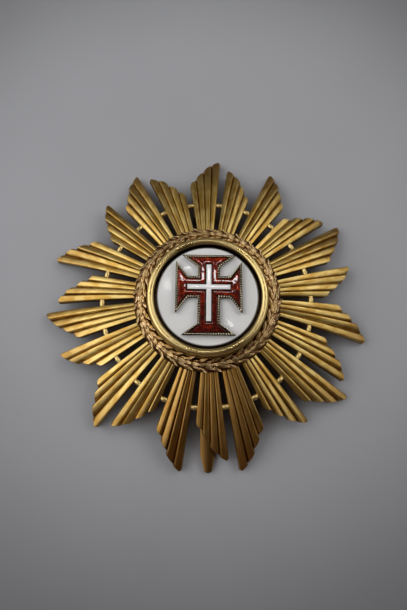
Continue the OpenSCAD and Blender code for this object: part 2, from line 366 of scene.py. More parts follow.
polished_gilt, tree, shader = new_material("polished_gilt", Metallic=1.0)
ring = use_group(tree, round_axis)
here = split(ring["Vector"])
turned = combine(here["Y"], here["X"], here["Z"])
grain = use_group(tree, drawn_grain, Vector=turned, Across=14000.0, Along=90.0, Ripple=0.0)
hands = use_group(tree, handling, Scale=150.0)
surface_tone = mix(hands["Patches"], RING_DEEP, RING_GOLD)
surface_tone = mix(film(mask(tree, "low"), 0.55, 1.1, 600.0, 0.3), surface_tone, GROOVE_BROWN)
# Painted shade on the inner wall of the ring.
inner_wall = ramp(ring["Radius"], 12.88 * MM, 13.10 * MM, 1.0, 0.0)
surface_tone = mix(inner_wall, surface_tone, WALL_SHADE)
lines = grain["Height"] + hands["Scratches"]
finish(shader, surface_tone, (hands["Patches"], 0.24, 0.36), (lines, 0.08, 0.004))

# %% [markdown]
# White enamel is opaque glass. Its gloss is high, its surface swims a little, and a few specks
# stay in it. A dark band is painted along the rim of the disc, the painted shade of the gap to the
# ring.

# %% Finish: white enamel
MILK = (0.94, 0.94, 0.93, 1)
CLEAN_WHITE = (0.98, 0.98, 0.97, 1)
SPECK = (0.30, 0.26, 0.22, 1)
RIM_SHADE = (0.030, 0.020, 0.014, 1)

white_enamel, tree, shader = new_material("white_enamel", Coat_Weight=0.6, Coat_Roughness=0.03, IOR=1.52)
here = object_coordinates(tree)
cloud = noise(here, 500.0, 5.0, 0.6)
specks = place(tree, "ShaderNodeTexVoronoi", here, None, 900.0)
specks = ramp(specks, 0.03, 0.09, 1.0, 0.0) * (cloud > 0.6)
body = mix(specks, mix(cloud, MILK, CLEAN_WHITE), SPECK)
# Painted shade along the rim of the disc.
rim_shade = ramp(use_group(tree, round_axis)["Radius"], 11.85 * MM, 12.15 * MM, 0.0, 0.92)
body = mix(rim_shade, body, RIM_SHADE)
finish(shader, body, (cloud, 0.07, 0.14), (noise(here, 260.0), 0.15, 0.05))

# %% [markdown]
# The border of the cross is milled metal that has gone dark between the cuts. Its crests are
# rubbed bright.

# %% Finish: milled metal
MILLED_DEEP = (0.78, 0.64, 0.42, 1)
MILLED_BRIGHT = (0.95, 0.85, 0.62, 1)
CUT_DARK = (0.030, 0.016, 0.010, 1)

milled_metal, tree, shader = new_material("milled_metal", Metallic=1.0)
patches = use_group(tree, handling, Scale=500.0)["Patches"]
between = film(mask(tree, "low"), 0.2, 0.8, 1500.0, 0.2)
surface_tone = mix(between, mix(patches, MILLED_DEEP, MILLED_BRIGHT), CUT_DARK)
finish(shader, surface_tone, (patches, 0.20, 0.38), (patches, 0.3, 0.02))

# %% [markdown]
# Red enamel is clear glass over engraved metal, which glints through it. A metallic base with a
# cut pattern stands for the engraved ground, and a smooth coat for the glass. Painted light
# makes the glass lighter and more orange towards the top of the cross and darker towards its foot.

# %% Finish: red enamel
RUBY = (0.50, 0.034, 0.003, 1)
MAROON = (0.022, 0.0010, 0.001, 1)

red_enamel, tree, shader = new_material("red_enamel", Metallic=0.9, Coat_Weight=0.8, Coat_Roughness=0.04)
shader["Coat IOR"].default_value = 1.5
here = object_coordinates(tree)
cuts = place(tree, "ShaderNodeTexVoronoi", here, None, 1900.0)
cloud = noise(here, 320.0, 4.0)
# Painted light: lighter towards the top of the cross, darker towards its foot, with some noise.
tone_and_top_light = cloud * 0.4 + ramp(split(here)["Y"], -6 * MM, 11 * MM, 0.0, 0.85)
depth = (ramp(cuts["Color"], 0.35, 0.95) + 0.25) * tone_and_top_light
finish(shader, mix(depth, MAROON, RUBY), (cloud, 0.25, 0.42), (cuts, 1.0, 0.15))

# %% [markdown]
# The pin is drawn along its length and sees more cloth than polish, so it is duller and browner
# than the rays.

# %% Finish: gilt pin
PIN_BROWN = (0.24, 0.11, 0.030, 1)
PIN_GOLD = (0.42, 0.23, 0.07, 1)

gilt_pin, tree, shader = new_material("gilt_pin", Metallic=1.0)
here = object_coordinates(tree)
grain = use_group(tree, drawn_grain, Vector=here, Across=5000.0, Along=90.0, Ripple=0.2)
hands = use_group(tree, handling, Scale=120.0)
tone = mix(hands["Scratches"], mix(grain["Streak"], PIN_BROWN, PIN_GOLD), GROOVE_BROWN)
finish(shader, tone, (hands["Patches"], 0.26, 0.42), (grain["Height"], 0.3, 0.01))

# %% [markdown]
# ## The rays
# A ray of the real star is sawn from plate, filed into four ribs and then domed. Here each ray is
# cut as a flat blank, a grid of lines that run outwards, and a rule then flutes and domes it. How
# far each rib reaches is measured on the CAD star, so that both models have the same filed ends.


# %% Measure the ribs on the frame
def points_of(piece):
    """Every point of a piece, in millimetres"""
    return np.array([v.co for v in piece.data.vertices]) / MM


RAY_COUNT = 22
RIB_COUNT = 4
SLIT = math.radians(3)
RIDGE_AT = (0.28, 0.48, 0.52, 0.72)
PITCH = 2 * math.pi / RAY_COUNT
RIB = (PITCH - SLIT) / RIB_COUNT
SAME_LINE = 2e-4

star_points = points_of(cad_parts["star_body"])
star_radius = np.hypot(star_points[:, 0], star_points[:, 1])
star_azimuth = np.arctan2(star_points[:, 1], star_points[:, 0])


def ray_azimuth(ray, across):
    """Where a line of a ray runs; across counts ribs from its left edge"""
    return math.pi / 2 - ray * PITCH + (RIB_COUNT / 2 - across) * RIB


def reach(ray, across):
    """How far from the axis the CAD star has a point on this line"""
    turn = (star_azimuth - ray_azimuth(ray, across) + math.pi) % (2 * math.pi) - math.pi
    return star_radius[np.abs(turn) < SAME_LINE].max()


ridge_ends = np.array([[reach(i, q + RIDGE_AT[q]) for q in range(RIB_COUNT)] for i in range(RAY_COUNT)])
print("ridges end", ridge_ends.min().round(2), "to", ridge_ends.max().round(2), "mm from the axis")

# %% [markdown]
# The grid's lines lie closest together beside the grooves, where the ribs' narrow flanks are.
# Four masks go with the points for the fluting: fold is 0 on a ridge and 1 in a groove, across
# counts the ribs, edge marks the chamfer round the blank, and lean tips the back of each rib a
# little to one side, as no two ribs are filed quite alike.

# %% Cut the flat blanks
END_SLANT = 1.2
END_LEAD = 0.8
TIP_BACK = 0.4
CHAMFER = 0.07
ROOT_R = 14.9
STATIONS = 24
FACET_LINES = (0.0, 0.05, 0.10, 0.17, 0.26, 0.38, 0.60)
GROOVE_GAP = 0.004
MOST_LEAN = 0.30
maker = random.Random(11)
leans = [[maker.uniform(-MOST_LEAN, MOST_LEAN) for q in range(RIB_COUNT)] for i in range(RAY_COUNT)]


def rib_lines(q):
    """Where the lines of rib q lie across it, and how far each has come from the ridge"""
    ridge = RIDGE_AT[q]
    left = [(max(ridge * f, GROOVE_GAP), 1 - f) for f in FACET_LINES]
    right = [(min(1 - (1 - ridge) * f, 1 - GROOVE_GAP), 1 - f) for f in reversed(FACET_LINES)]
    return left + [(ridge, 0.0)] + right


def rib_end(ray, q, u):
    """Where rib q ends at the share u of its width; its end slants up to the longer neighbour"""
    ridge = ridge_ends[ray, q]
    longest_right = ridge_ends[ray, -1] > ridge_ends[ray, 0]
    is_tip = ridge == ridge_ends[ray].max()
    low, high = ridge - END_SLANT, ridge + (-TIP_BACK if is_tip else END_LEAD)
    sides = (low, ridge, high) if longest_right else (high, ridge, low)
    return np.interp(u, (0, RIDGE_AT[q], 1), sides)


def blank(ray):
    """Points of one flat ray with their four masks, line by line and from the root outwards"""
    points = []
    lines = [(q, u, fold) for q in range(RIB_COUNT) for u, fold in rib_lines(q)]
    for n, (q, u, fold) in enumerate(lines):
        end = rib_end(ray, q, u)
        angle = ray_azimuth(ray, q + u)
        lean = leans[ray][q] * (u - RIDGE_AT[q])
        for k, r in enumerate([*np.linspace(ROOT_R, end - CHAMFER, STATIONS), end]):
            edge = float(n in (0, len(lines) - 1) or k == STATIONS)
            points.append((r * math.cos(angle), r * math.sin(angle), 0, fold, q + u, edge, lean))
    return points, len(lines)


# %% [markdown]
# Points are given in millimetres, numbered row by row, and stored in metres. A mesh can carry
# marks, which are numbers at its points, for the finishes and the rules to read.


# %% Helpers for meshes
def mesh_piece(name, points, faces, edges=()):
    mesh = bpy.data.meshes.new(name)
    mesh.from_pydata((np.asarray(points, float) * MM).tolist(), edges, faces)
    return add_object(name, mesh)


def mark(piece, name, values):
    """Stores a number, or one for each point, for the finishes and the rules to read"""
    layer = piece.data.attributes.new(name, "FLOAT", "POINT")
    every = np.broadcast_to(values, len(piece.data.vertices))
    layer.data.foreach_set("value", every.astype(np.float32))


def grid_faces(rows, columns, first=0, around=False):
    """Quads over points that are numbered row by row; around joins the last column to the first"""
    faces = []
    for row in range(rows - 1):
        for column in range(columns if around else columns - 1):
            a = first + row * columns + column
            b = first + row * columns + (column + 1) % columns
            faces.append((a, b, b + columns, a + columns))
    return faces


def grid_rim(rows, columns):
    """The numbers of the points on the rim of such a grid, once round"""
    rim = [*range(columns)]
    rim += [row * columns + columns - 1 for row in range(1, rows)]
    rim += [(rows - 1) * columns + column for column in range(columns - 2, -1, -1)]
    return rim + [row * columns for row in range(rows - 2, 0, -1)]


def triangles(piece):
    return sum(len(face.vertices) - 2 for face in piece.data.polygons)


def tell(*pieces):
    for piece in pieces:
        print("made", piece.name, "of", triangles(piece), "triangles")


# %% [markdown]
# Each blank gets an underside with the same points and a wall round its rim, which makes it a
# closed body. The underside is marked by its own mask.

# %% Close the blanks into bodies
ray_points, ray_faces = [], []
for ray in range(RAY_COUNT):
    top, line_count = blank(ray)
    columns = STATIONS + 1
    first = len(ray_points)
    below = first + len(top)
    ray_points += [(*p, 0.0) for p in top] + [(*p, 1.0) for p in top]
    ray_faces += grid_faces(line_count, columns, first)
    ray_faces += [face[::-1] for face in grid_faces(line_count, columns, below)]
    rim = grid_rim(line_count, columns)
    for a, b in zip(rim, rim[1:] + rim[:1]):
        ray_faces.append((first + a, first + b, below + b, below + a))

ray_points = np.array(ray_points)
rays = mesh_piece("rays", ray_points[:, :3], ray_faces)
for column, name in enumerate(("fold", "across", "edge", "lean", "under"), 3):
    mark(rays, name, ray_points[:, column])
tell(rays)

# %% [markdown]
# Fluting and doming follow a rule, so Geometry Nodes do them. All geometry trees end alike:
# copies are made real and get one material. Running a tree leaves a plain mesh behind, with no
# modifier on it.


# %% Helpers for geometry trees
def geometry_tree(name, sizes):
    inputs = {"Geometry": "Geometry", **sizes, "Material": "Material"}
    return new_tree(name, inputs, {"Geometry": "Geometry"}, "GeometryNodeTree")


def end_tree(sizes, result, geometry):
    real = place(sizes.tree, "GeometryNodeRealizeInstances", geometry)
    coated = place(sizes.tree, "GeometryNodeSetMaterial", real, None, sizes["Material"])
    put(result["Geometry"], coated)


def run_nodes(piece, tree, values):
    """Runs a tree on a piece with these inputs and keeps the result as a plain mesh"""
    modifier = piece.modifiers.new(tree.name, "NODES")
    modifier.node_group = tree
    for item in tree.interface.items_tree:
        if item.in_out == "INPUT" and item.name in values:
            modifier[item.identifier] = values[item.name]
    bake_modifiers(piece)


def bake_modifiers(piece):
    bpy.context.view_layer.update()
    evaluated = piece.evaluated_get(bpy.context.evaluated_depsgraph_get())
    made = bpy.data.meshes.new_from_object(evaluated)
    piece.modifiers.clear()
    piece.data = made


# %% [markdown]
# The tree below lifts every point to the sphere, lowers it by the depth of the flutes, adds the
# crown of the ray, whose outer ribs lean towards the slits, and lets the hand of the maker waver
# a little. The ribs' backs are rubbed almost flat, so only a narrow flank is left beside each
# groove: the depth grows with a power of the distance from the ridge. The wall is measured down
# from the grooves, so the back stays plain, and the tips stand on their flat foot.


# %% Build the tree: flute and dome
def length(vector):
    return place(vector.tree, "ShaderNodeVectorMath", vector, operation="LENGTH")["Value"]


WAVER_SCALE = 160.0

flute, sizes, result = geometry_tree("Flute and dome", {
    "Dome radius": 0.106, "Star radius": 0.0424, "Rib angle": 0.05, "Rib rise": 0.36, "Wall": 0.001,
    "Crown": 0.04, "Back power": 2.0, "Foot": 0.0, "Chamfer": 0.0001, "Waver": 0.00004,
})


def point_mask(name):
    return place(flute, "GeometryNodeInputNamedAttribute", name, data_type="FLOAT")


def sphere_height(radius, r):
    return (radius * radius - r * r).math("SQRT")


position = place(flute, "GeometryNodeInputPosition")
r = length(position)
rib_width = r * sizes["Rib angle"]
groove_depth = rib_width * sizes["Rib rise"]
tip_rise = sizes["Star radius"] * sizes["Rib angle"] * sizes["Rib rise"]
tip_level = sphere_height(sizes["Dome radius"], sizes["Star radius"])
ridge = sphere_height(sizes["Dome radius"], r) - tip_level + sizes["Wall"] + tip_rise

rounded = point_mask("fold").math("POWER", sizes["Back power"])
lean = point_mask("lean") * (1.0 - rounded) * rib_width
top = ridge - rounded * groove_depth + lean
middle = point_mask("across") * (2 / RIB_COUNT) - 1.0
top = top - middle * middle * sizes["Crown"] * rib_width * RIB_COUNT
top = top - point_mask("edge") * sizes["Chamfer"]
top = top + (noise(position, WAVER_SCALE) - 0.5) * sizes["Waver"] * 2.0

bottom = (ridge - groove_depth - sizes["Wall"]).math("MAXIMUM", sizes["Foot"])
is_under = point_mask("under") > 0.5
height = place(flute, "GeometryNodeSwitch", is_under, top, bottom, input_type="FLOAT")
lift = combine(0.0, 0.0, height)
end_tree(sizes, result, place(flute, "GeometryNodeSetPosition", sizes["Geometry"], None, None, lift))

# %% [markdown]
# The tree runs with the sizes of the real plate. The level of the foot is read off the CAD star,
# so the tips of both models stand at the same height.

# %% Flute and dome the rays
DOME_R = 106
STAR_R = 42.4
RIB_RISE = 0.36
CROWN = 0.04
WALL = 1.0

run_nodes(rays, flute, {
    "Dome radius": DOME_R * MM,
    "Star radius": STAR_R * MM,
    "Rib angle": RIB,
    "Rib rise": RIB_RISE,
    "Wall": WALL * MM,
    "Crown": CROWN,
    "Back power": 6.0,
    "Foot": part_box("star_body")[0].z,
    "Chamfer": CHAMFER * MM,
    "Waver": 0.08 * MM,
    "Material": gilt_rays,
})
tell(rays)

# %% [markdown]
# ## The hub and the stays
# Hub, stays, ring and disc are turned. A turned profile is a list of radius and height, as on a
# lathe.


# %% Helpers for turned pieces
def box_of(node):
    """The lowest and the highest corner of a CAD node, in millimetres"""
    return [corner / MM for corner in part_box(node)]


def clean(piece, merge=1e-7, flatten=False):
    """Merges doubled points, joins what is flat if asked, and turns every face outwards"""
    bm = bmesh.new()
    bm.from_mesh(piece.data)
    bmesh.ops.remove_doubles(bm, verts=bm.verts, dist=merge)
    if flatten:
        bmesh.ops.dissolve_limit(bm, angle_limit=math.radians(1), verts=bm.verts, edges=bm.edges)
    bmesh.ops.recalc_face_normals(bm, faces=bm.faces)
    bm.to_mesh(piece.data)
    bm.free()
    return piece


def lathe(name, profile, segments, material=None, ring=False):
    """Turns a profile round the Z axis; a ring's profile closes on itself and misses the axis"""
    rows = list(profile) + [profile[0]] if ring else list(profile)
    turns = [2 * math.pi * s / segments for s in range(segments)]
    points = [(r * math.cos(a), r * math.sin(a), z) for r, z in rows for a in turns]
    piece = clean(mesh_piece(name, points, grid_faces(len(rows), segments, around=True)))
    if material:
        piece.data.materials.append(material)
    return piece


# %% [markdown]
# The rays run into a flat hub under the medallion. Its top is hidden by the wreath and the ring,
# but its underside shows from the back.

# %% Turn the hub
RING_W = 1.75
WREATH_W = 3.25
ring_low, ring_high = box_of("bezel_ring")
WREATH_IN_R = ring_high.x + 0.2
WREATH_OUT_R = WREATH_IN_R + WREATH_W
HUB_R = WREATH_OUT_R - 0.4
HUB_WALL = 1.5
HUB_EDGE = 0.1
RIM_INSET = 0.25


def dome_z(r):
    """Height of the ridges at a distance from the axis"""
    level = math.sqrt(DOME_R**2 - STAR_R**2)
    return math.sqrt(DOME_R**2 - r * r) - level + WALL + RIB_RISE * RIB * STAR_R


seat_z = dome_z(WREATH_IN_R)
groove_z = dome_z(HUB_R) - RIB_RISE * RIB * HUB_R
rim_top = groove_z - RIM_INSET
rim_foot = groove_z - WALL + RIM_INSET
hub_profile = [(0, seat_z - HUB_WALL), (WREATH_IN_R, seat_z - HUB_WALL)]
hub_profile += [(HUB_R - HUB_EDGE, rim_foot), (HUB_R, rim_foot + HUB_EDGE)]
hub_profile += [(HUB_R, rim_top - HUB_EDGE), (HUB_R - HUB_EDGE, rim_top)]
hub_profile += [(WREATH_IN_R, seat_z), (0, seat_z)]
hub = lathe("hub", hub_profile, 4 * RAY_COUNT, gilt_rays)
hub_points = points_of(hub)
inside = np.hypot(hub_points[:, 0], hub_points[:, 1]) < HUB_R - 1
mark(hub, "under", hub_points[:, 2] < np.where(inside, seat_z - 0.5, groove_z - 0.4))

# %% [markdown]
# One tree sets copies in a ring, both the 22 stays and the leaves of the wreath. The piece's own
# mesh is the pattern, and a seed varies each copy a little in size and lean, as hand work does.

# %% Build the tree: ring of copies
ring_copies, sizes, result = geometry_tree("Ring of copies", {
    "Count": 12, "Radius": 0.02, "Height": 0.0, "Phase": 0.0, "Spread": 0.0, "Pitch": 0.0,
    "Roll": 0.0, "Sway": 0.0, "Size spread": 0.0, "Seed": 1,
})
index = place(ring_copies, "GeometryNodeInputIndex")
angle = (index * (2 * math.pi)).math("DIVIDE", sizes["Count"]) + sizes["Phase"]
east = angle.math("COSINE") * sizes["Radius"]
north = angle.math("SINE") * sizes["Radius"]
spots = place(ring_copies, "GeometryNodePoints", sizes["Count"], combine(east, north, sizes["Height"]))


def random_value(low, high, step):
    """A number for each copy; the step keeps the draws from one seed apart"""
    values = (None, None, low, high, None, None, None, index, sizes["Seed"] + step)
    return place(ring_copies, "FunctionNodeRandomValue", *values, data_type="FLOAT")[1]


sways = [random_value(-1.0, 1.0, step) * sizes["Sway"] for step in range(3)]
around = angle + sizes["Spread"] + sways[0]
turn = combine(sizes["Pitch"] + sways[1], sizes["Roll"] + sways[2], around)
size = random_value(1.0 - sizes["Size spread"], 1.0, 5)
pattern = (None, sizes["Geometry"], None, None)
copies = place(ring_copies, "GeometryNodeInstanceOnPoints", spots, *pattern, turn, size)
end_tree(sizes, result, copies)

# %% [markdown]
# A stay is a short round wire, laid across a slit and soldered at both ends. Rubbing has left it
# thickest in the middle, and the solder draws up into a small collar at each end, so the wire is
# turned with that profile and laid on its side.


# %% Make the stays
def smooth(piece, angle):
    """Smooth shading, with a crisp edge wherever faces meet at more than the angle"""
    piece.data.shade_smooth()
    piece.data.set_sharp_from_angle(angle=math.radians(angle))
    return piece


def join(name, pieces):
    """Makes one object of several"""
    with bpy.context.temp_override(active_object=pieces[0], selected_editable_objects=pieces):
        bpy.ops.object.join()
    pieces[0].name = name
    pieces[0].data.name = name
    return pieces[0]


STAY_R = 26.2
STAY_D = 1.4
RUBBED_AWAY = 0.22
COLLAR = 0.12
stay_half = (STAY_R * SLIT) / 2 + 0.1
stay_profile = [(0, -stay_half)]
for s in np.linspace(-1, 1, 17):
    stay_profile.append((STAY_D / 2 * (1 - RUBBED_AWAY * s * s + COLLAR * s**6), s * stay_half))
stay_profile.append((0, stay_half))
stays = lathe("stays", stay_profile, 20)
stays.data.transform(Matrix.Rotation(math.pi / 2, 4, "X"))
# The rubbed mark also carries a painted highlight on the stays.
mark(stays, "rubbed", 0.85)
outer_drop = CROWN * RIB_COUNT * RIB * STAY_R * (2 * RIDGE_AT[0] / RIB_COUNT - 1) ** 2
run_nodes(stays, ring_copies, {
    "Count": RAY_COUNT,
    "Radius": STAY_R * MM,
    "Height": (dome_z(STAY_R) - outer_drop - STAY_D / 2) * MM,
    "Phase": math.pi / 2 + PITCH / 2,
    "Sway": math.radians(4),
    "Size spread": 0.05,
    "Seed": 3,
    "Material": gilt_rays,
})
star = smooth(join("star", [rays, hub, stays]), 32)
tell(star)

# %% [markdown]
# ## The laurel wreath
# The wreath is one casting of about 32 bundles of leaves, which lap over each other round the
# ring and point the same way. A single leaf is a flat blade with a sunken midrib, raised halves
# and fine side veins, and the ring of copies sets it in rows. The mask called low darkens the
# midrib, the furrows between the veins, the rim and the stalk end, partly as patina and partly as
# painted shade.


# %% Model one leaf
LEAF_STEPS = 13
LEAF_COLUMNS = 7
LEAF_VEINS = 4


def leaf(name, length, width, height, bend):
    """A blade along +Y with its tip lifted; a keel below closes it, and low is 1 there"""
    points, low = [], []
    for a in range(LEAF_STEPS):
        s = a / (LEAF_STEPS - 1)
        half = width / 2 * max(math.sin(math.pi * s**0.8), 0.02) ** 0.6 * (1 - 0.2 * s)
        for b in range(LEAF_COLUMNS):
            v = 2 * b / (LEAF_COLUMNS - 1) - 1
            furrow = 0.5 - 0.5 * math.cos(2 * math.pi * (LEAF_VEINS * s - 0.9 * abs(v)))
            body = math.sqrt(max(1 - v * v, 0)) * (1 - 0.4 * s)
            midrib = math.exp(-((v / 0.22) ** 2))
            z = height * (body - 0.3 * midrib - 0.2 * furrow * abs(v)) + bend * s * s
            points.append((half * v, (s - 0.5) * length, z))
            # low: patina and painted shade on the midrib, the furrows, the rim and the stalk end.
            low.append(max(0.6 * midrib, 0.45 * furrow * abs(v), abs(v) ** 5, 1 - 3 * s))
        points.append((0, (s - 0.5) * length, bend * s * s - height))
        low.append(1.0)
    columns = LEAF_COLUMNS + 1
    ends = [[*range(columns)][::-1], [*range(len(points) - columns, len(points))]]
    piece = mesh_piece(name, points, grid_faces(LEAF_STEPS, columns, around=True) + ends)
    mark(piece, "low", low)
    return clean(piece, 1e-6)


# %% [markdown]
# Each row is given by its place across the wreath, its step round the ring, the length, width and
# lift of its leaves, and its seed. The side rows fan out and roll down towards the edges of the
# wreath's round back. Two lower rows fill the gaps, and the middle row stands highest.

# %% Set the leaves in rows
BUNDLES = 32
WREATH_MID_R = (WREATH_IN_R + WREATH_OUT_R) / 2
WREATH_H = 1.25
LEAF_H = 0.34
LEAF_BEND = 0.3
wreath_foot = dome_z(WREATH_MID_R) + 0.1
foot_tilt = math.atan2(dome_z(WREATH_IN_R) - dome_z(WREATH_OUT_R), WREATH_W)
ROW_SHARE = 0.3
LEAF_ROWS = (
    (-0.7, 0.05, 2.5, 1.05, -0.04, 21),
    (0.7, 0.05, 2.6, 1.05, -0.04, 22),
    (-1.1, 0.5, 2.8, 1.15, 0.0, 11),
    (1.1, 0.5, 2.9, 1.2, 0.0, 12),
    (0.0, 0.5, 2.7, 1.2, -0.05, 23),
    (0.0, 0.0, 3.0, 1.4, 0.05, 13),
)

leaf_rows = []
for number, (row, step, leaf_length, width, lift, seed) in enumerate(LEAF_ROWS):
    one = leaf(f"leaves_{number}", leaf_length, width, LEAF_H, LEAF_BEND)
    rise = WREATH_H * math.sqrt(1 - (2 * ROW_SHARE * row) ** 2) + lift
    shift = row * ROW_SHARE * WREATH_W
    run_nodes(one, ring_copies, {
        "Count": BUNDLES,
        "Radius": (WREATH_MID_R + shift * math.cos(foot_tilt)) * MM,
        "Height": (wreath_foot + rise - shift * math.sin(foot_tilt)) * MM,
        "Phase": step * 2 * math.pi / BUNDLES,
        "Spread": math.radians(-14 * row),
        "Pitch": math.radians(3),
        "Roll": math.radians(26 * row) + foot_tilt,
        "Sway": math.radians(7),
        "Size spread": 0.15,
        "Seed": seed,
        "Material": gilt_wreath,
    })
    leaf_rows.append(one)
tell(*leaf_rows)

# %% [markdown]
# Under the leaves lies the wreath's round back, a low half ellipse that tilts with the dome. It
# is turned and marked as low all over, so that the gaps between the leaves show dark, partly as
# patina and partly as painted shade.

# %% Turn the back of the wreath
back_profile = []
for t in np.linspace(0, math.pi, 17):
    across, up = -WREATH_W / 2 * math.cos(t), WREATH_H * math.sin(t)
    x = across * math.cos(foot_tilt) + up * math.sin(foot_tilt)
    z = up * math.cos(foot_tilt) - across * math.sin(foot_tilt)
    back_profile.append((WREATH_MID_R + x, wreath_foot + z))
back = lathe("wreath_back", back_profile, 136, gilt_wreath, ring=True)
mark(back, "low", 1.0)
wreath = smooth(join("laurel_leaves", [back, *leaf_rows]), 40)
tell(wreath)

# %% [markdown]
# ## The ring and the white disc
# The polished ring holds the disc, and a ledge inside it carries the disc from below. Only the
# roundings are added to the CAD sizes.


# %% Turn the ring
def arc(x, z, radius, turns):
    """The points of a round in a profile, at these turns"""
    return [(x + radius * math.cos(t), z + radius * math.sin(t)) for t in turns]


LEDGE_W = 2.0
RING_EDGE = 0.08
LEDGE_EDGE = 0.1
LOW_DEPTH = 2.6
disc_low, disc_high = box_of("white_disc")
ring_out = ring_high.x
ring_in = ring_out - RING_W
ledge_top = disc_low.z - 0.05
ring_profile = [
    (ring_in - LEDGE_W, ring_low.z),
    (ring_out - RING_EDGE, ring_low.z),
    (ring_out, ring_low.z + RING_EDGE),
    *arc(ring_out - RING_W / 2, ring_high.z - RING_W / 2, RING_W / 2, np.linspace(0, math.pi, 17)),
    (ring_in, ledge_top + LEDGE_EDGE),
    (ring_in - LEDGE_EDGE, ledge_top),
    (ring_in - LEDGE_W, ledge_top),
]
bezel = smooth(lathe("bezel", ring_profile, 240, polished_gilt, ring=True), 40)
mark(bezel, "low", np.clip((ring_high.z - points_of(bezel)[:, 2]) / LOW_DEPTH, 0, 1))
tell(bezel)

# %% [markdown]
# The disc is an enamelled plate. It is slightly domed, and the enamel draws back at the rim in a
# small round edge, so it is turned with that profile.

# %% Turn the white disc
DISC_RISE = 0.35
EDGE_ROUND = 0.18
disc_r = disc_high.x
disc_edge = disc_high.z - DISC_RISE
flat_r = disc_r - EDGE_ROUND
edge_turns = np.linspace(0, math.pi / 2, 7)[1:]
disc_profile = [(0, disc_low.z), (disc_r, disc_low.z), (disc_r, disc_edge - EDGE_ROUND)]
disc_profile += arc(flat_r, disc_edge - EDGE_ROUND, EDGE_ROUND, edge_turns)
for s in range(19, -1, -1):
    r = flat_r * s / 20
    disc_profile.append((r, disc_edge + DISC_RISE * (1 - (r / disc_r) ** 2)))
disc = smooth(lathe("enamel_disc", disc_profile, 192, white_enamel), 40)
tell(disc)

# %% [markdown]
# ## The cross
# The metal cross, its two enamels and the pin have straight sides, so their CAD outlines are
# right, but their edges are dead sharp. A merged copy of each is made first. The metal and the pin
# then get small bevels. The top of the metal is lowered, so that the crests of the milled beads
# come level with the CAD cross.


# %% Merged and bevelled copies of CAD pieces
def merged_copy(node, name):
    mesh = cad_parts[node].data.copy()
    mesh.name = name
    mesh.materials.clear()
    return clean(add_object(name, mesh), 1e-6, flatten=True)


def bevelled_copy(node, name, width, segments, material):
    piece = merged_copy(node, name)
    edges = piece.modifiers.new("edges", "BEVEL")
    edges.width = width * MM
    edges.segments = segments
    edges.limit_method = "ANGLE"
    edges.angle_limit = math.radians(30)
    bake_modifiers(piece)
    piece.data.materials.append(material)
    return smooth(piece, 40)


cross_metal = bevelled_copy("cross_frame", "cross_metal", 0.05, 2, milled_metal)
metal_high = box_of("cross_frame")[1]
BEAD_RISE = 0.08
for vertex in cross_metal.data.vertices:
    if vertex.co.z / MM > metal_high.z - 0.1:
        vertex.co.z -= BEAD_RISE * MM
pin = bevelled_copy("brooch_pin", "lancet_pin", 0.16, 3, gilt_pin)
tell(cross_metal, pin)

# %% [markdown]
# Fired enamel is never flat. It dips at the walls of its cell, and there it catches the light.
# Bevels would only round the rim, so the top of each enamel is cut into small squares, and a rule
# then lowers the points near the rim. The squares are the top of a slab that lies parallel to the
# cross, and the enamel is what the slab and the CAD piece have in common.

# %% Cut the enamels into small squares
CROSS_TURN = math.radians(-1.8)
SLAB_MARGIN = 0.7
SLAB_SHIFT = 0.037


def squared_copy(node, name, step):
    """The CAD piece with its top cut into squares of this step"""
    piece = merged_copy(node, name)
    low, high = box_of(node)
    middle = (low + high) / 2 * MM
    half = max(high.x - low.x, high.y - low.y) / 2 + SLAB_MARGIN
    count = int(2 * half / step) + 1
    marks = np.linspace(-half, half, count) + SLAB_SHIFT
    points = [(x, y, high.z - 0.001) for x in marks for y in marks]
    rim = grid_rim(count, count)
    below = {n: len(points) + k for k, n in enumerate(rim)}
    points += [(*points[n][:2], low.z - 1) for n in rim]
    faces = grid_faces(count, count)
    faces += [(n, m, below[m], below[n]) for n, m in zip(rim, rim[1:] + rim[:1])]
    faces.append([below[n] for n in reversed(rim)])
    slab = clean(mesh_piece("slab", points, faces))
    over_cross = Matrix.Translation((middle.x, middle.y, 0)) @ Matrix.Rotation(CROSS_TURN, 4, "Z")
    slab.data.transform(over_cross)
    common = piece.modifiers.new("common", "BOOLEAN")
    common.operation = "INTERSECT"
    common.solver = "EXACT"
    common.object = slab
    bake_modifiers(piece)
    bpy.data.objects.remove(slab)
    return clean(piece)


cross_red = squared_copy("red_enamel", "cross_red", 0.16)
cross_white = squared_copy("inner_cross", "cross_white", 0.14)
tell(cross_red, cross_white)

# %% [markdown]
# The tree finds the rim as the sharp edges of the top and lowers the points near it along a
# parabola. A slow noise lets the glass swim a little.

# %% Build the tree: fired enamel
SAME_LEVEL = 0.01 * MM
SWIM_SCALE = 700.0

fired, sizes, result = geometry_tree(
    "Fired enamel", {"Top": 0.01, "Dip width": 0.0009, "Dip": 0.00012, "Swim": 0.00002}
)
position = place(fired, "GeometryNodeInputPosition")
on_top = split(position)["Z"] > sizes["Top"] - SAME_LEVEL
corner = place(fired, "GeometryNodeInputMeshEdgeAngle")["Unsigned Angle"]
is_rim = (corner > math.radians(45)) * on_top
rim_line = place(fired, "GeometryNodeMeshToCurve", sizes["Geometry"], is_rim)
rim_mesh = place(fired, "GeometryNodeCurveToMesh", rim_line)
near = place(fired, "GeometryNodeProximity", rim_mesh, target_element="EDGES")["Distance"]
share = ramp(near, 0.0, sizes["Dip width"], 1.0, 0.0)
dip = share * share * sizes["Dip"] + noise(position, SWIM_SCALE, 1.0) * sizes["Swim"]
down = combine(0.0, 0.0, dip * -1.0)
end_tree(sizes, result, place(fired, "GeometryNodeSetPosition", sizes["Geometry"], on_top, None, down))

# %% [markdown]
# Both enamels run through the same tree. The white cross gets the wider and deeper dip, because
# white glass shows its form only where it shines.

